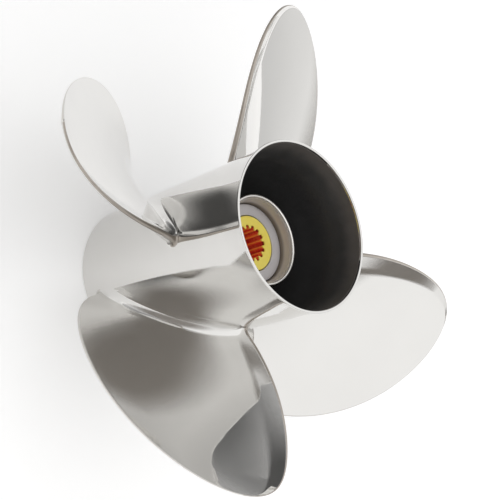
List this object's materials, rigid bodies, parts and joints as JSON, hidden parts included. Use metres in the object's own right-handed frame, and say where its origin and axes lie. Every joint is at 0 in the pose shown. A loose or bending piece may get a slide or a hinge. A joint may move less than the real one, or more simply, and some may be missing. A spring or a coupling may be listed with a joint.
{
  "type": "outboard boat propeller",
  "caption": "Stainless outboard boat propeller: raked blades on a flared exhaust barrel, with an inner hub, rubber bush and splined brass sleeve.",
  "frame": {"origin": "centre of the barrel's front face, on the shaft axis, where the propeller stands", "axes": "+Z along the shaft axis pointing aft, +X through the middle of blade_1's root"},
  "size_m": [0.344, 0.344, 0.167],
  "materials": {
    "polished_steel": "mirror-polished stainless steel outside, dark matt coating inside",
    "blade_steel": "hand-polished stainless steel, a little softer towards the tips",
    "satin_steel": "machined satin stainless steel with a bright lip",
    "dark_casting": "as-cast stainless steel under a dark matt coating",
    "black_rubber": "moulded black rubber",
    "ring_steel": "flat pale grey ring, fine turned marks",
    "sleeve_brass": "yellow brass end face, red-orange splined bore"
  },
  "bodies": {
    "root": {"barrel": "polished_steel", "blade_1": "blade_steel", "blade_2": "blade_steel", "blade_3": "blade_steel", "blade_4": "blade_steel", "inner_hub": "satin_steel", "rib_1": "dark_casting", "rib_2": "dark_casting", "rib_3": "dark_casting", "rib_4": "dark_casting", "rubber_bush": "black_rubber", "bush_end_ring": "ring_steel", "spline_sleeve": "sleeve_brass"}
  },
  "joints": []
}
